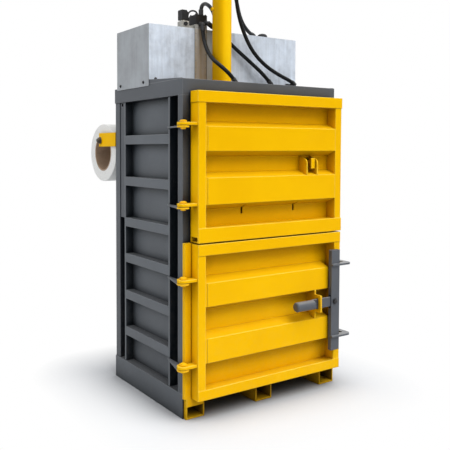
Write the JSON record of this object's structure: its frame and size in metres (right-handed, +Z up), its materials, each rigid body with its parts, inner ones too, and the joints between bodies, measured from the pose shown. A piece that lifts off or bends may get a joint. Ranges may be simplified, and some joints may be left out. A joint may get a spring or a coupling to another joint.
{
  "type": "recycling baler",
  "caption": "Upright waste baler: yellow side-hung doors on a dark welded frame, a hydraulic press cylinder and a galvanised power pack on top, open channel feet, and a strap roll behind.",
  "frame": {"origin": "floor level under the middle of the welded frame, on the underside of the middle foot", "axes": "+X to the right as seen from the doors, -Y out through the doors, +Z up"},
  "size_m": [1.088, 1.183, 2.534],
  "materials": {
    "frame_paint": "satin anthracite powder coat",
    "yellow_paint": "semi-gloss yellow powder coat",
    "grey_paint": "satin dark grey powder coat",
    "galvanised_sheet": "hot-dip galvanised, faint spangle",
    "zinc_steel": "zinc plated",
    "chromed_rod": "hard chrome",
    "slide_plastic": "natural nylon",
    "black_plastic": "black",
    "hose_rubber": "black, matt",
    "cardboard": "plain wound cardboard",
    "strap_white": "woven white strap, wound"
  },
  "bodies": {
    "frame": {"side_wall_left": "frame_paint", "side_wall_right": "frame_paint", "front_posts": "frame_paint", "rear_posts": "frame_paint", "groove_covers": "frame_paint", "top_frame": "frame_paint", "top_plate": "frame_paint", "cover_lips": "frame_paint", "rear_wall": "frame_paint", "base_skirts": "frame_paint", "chamber_floor": "frame_paint", "foot_left": "yellow_paint", "foot_middle": "yellow_paint", "foot_right": "yellow_paint", "hinge_column": "yellow_paint", "frame_hinge_lugs": "frame_paint", "lock_lugs": "frame_paint", "latch_catch": "frame_paint", "cylinder_barrel": "yellow_paint", "cylinder_head": "yellow_paint", "head_bolts": "zinc_steel", "cylinder_cap": "yellow_paint", "power_cover": "galvanised_sheet", "cover_bolts": "zinc_steel", "oil_tank": "frame_paint", "pump_motor": "frame_paint", "valve_manifold": "zinc_steel", "coil_plug": "black_plastic", "valve_block": "black_plastic", "breather_cap": "black_plastic", "hose_return": "hose_rubber", "hose_feed": "hose_rubber", "hose_head": "hose_rubber", "hose_cap_front": "hose_rubber", "hose_cap_rear": "hose_rubber", "valve_cable": "hose_rubber", "hose_fittings": "zinc_steel", "roll_bracket": "yellow_paint"},
    "upper_door": {"upper_door_frame": "yellow_paint", "upper_door_panel": "yellow_paint", "upper_door_ribs": "yellow_paint", "latch_cheeks": "yellow_paint"},
    "upper_latch": {"latch_arm": "yellow_paint"},
    "lower_door": {"lower_door_frame": "yellow_paint", "lower_door_panel": "yellow_paint", "lower_door_ribs": "yellow_paint", "lock_keeper": "yellow_paint"},
    "lock_bar": {"lock_bar": "grey_paint", "lever_bolt": "zinc_steel"},
    "lock_lever": {"lock_lever": "grey_paint", "lever_grip": "grey_paint"},
    "ram": {"platen": "zinc_steel", "platen_beams": "frame_paint", "piston_rod": "chromed_rod", "rod_pin": "zinc_steel", "piston": "zinc_steel", "guide_pads": "slide_plastic"},
    "strap_roll": {"roll_core": "cardboard", "strap_roll": "strap_white"}
  },
  "joints": [
    {"name": "upper_door_hinge", "type": "hinge", "parent": "frame", "child": "upper_door", "pos_m": [-0.525, -0.395, 1.23], "axis": [0, 0, -1], "range_deg": [0, 160]},
    {"name": "upper_latch_pivot", "type": "hinge", "parent": "upper_door", "child": "upper_latch", "pos_m": [0.13, -0.3395, 1.215], "axis": [0, 1, 0], "range_deg": [0, 7]},
    {"name": "lower_door_hinge", "type": "hinge", "parent": "frame", "child": "lower_door", "pos_m": [-0.525, -0.395, 0.477], "axis": [0, 0, -1], "range_deg": [0, 160]},
    {"name": "lock_bar_slide", "type": "slide", "parent": "lower_door", "child": "lock_bar", "axis": [0, 0, 1], "range_m": [0, 0.03]},
    {"name": "lock_lever_pivot", "type": "hinge", "parent": "lower_door", "child": "lock_lever", "pos_m": [0.297, -0.444, 0.48], "axis": [0, -1, 0], "range_deg": [0, 14.66]},
    {"name": "ram_slide", "type": "slide", "parent": "frame", "child": "ram", "axis": [0, 0, -1], "range_m": [0, 0.78]},
    {"name": "strap_roll_spin", "type": "hinge", "parent": "frame", "child": "strap_roll", "pos_m": [-0.391, 0.538, 1.2803], "axis": [1, 0, 0], "continuous": true}
  ],
  "couplings": [
    {"joint": "lock_lever_pivot", "follows": "lock_bar_slide", "rad_per_m": 8.523}
  ]
}
